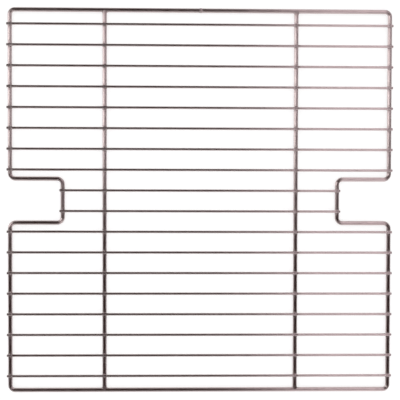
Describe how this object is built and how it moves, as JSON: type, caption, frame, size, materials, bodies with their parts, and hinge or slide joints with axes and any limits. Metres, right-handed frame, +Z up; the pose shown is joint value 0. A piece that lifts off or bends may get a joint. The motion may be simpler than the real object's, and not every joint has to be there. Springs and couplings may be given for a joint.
{
  "type": "fryer basket support rack",
  "caption": "Flat welded wire rack with a rectangular notch in each side, whose cross wires carry frying baskets clear of the tank's floor and burner tubes.",
  "frame": {"origin": "middle of the rack's underside, on the plane that it lies on", "axes": "+Z up through the rack, cross wires on top; +X along the cross wires, towards the right notch; +Y along the support rods, towards the bar with the butt weld"},
  "size_m": [0.3556, 0.3552, 0.0058],
  "materials": {
    "heavy_wire": "bright nickel-chrome plating on drawn steel wire",
    "cross_wire": "bright nickel-chrome plating on thin drawn steel wire"
  },
  "bodies": {
    "root": {"frame_wire": "heavy_wire", "support_rod_left": "heavy_wire", "support_rod_right": "heavy_wire", "cross_wire_01": "cross_wire", "cross_wire_02": "cross_wire", "cross_wire_03": "cross_wire", "cross_wire_04": "cross_wire", "cross_wire_05": "cross_wire", "cross_wire_06": "cross_wire", "cross_wire_07": "cross_wire", "cross_wire_08": "cross_wire", "cross_wire_09": "cross_wire", "cross_wire_10": "cross_wire", "cross_wire_11": "cross_wire", "cross_wire_12": "cross_wire", "cross_wire_13": "cross_wire", "cross_wire_14": "cross_wire", "cross_wire_15": "cross_wire", "cross_wire_16": "cross_wire", "cross_wire_17": "cross_wire", "cross_wire_18": "cross_wire"}
  },
  "joints": []
}
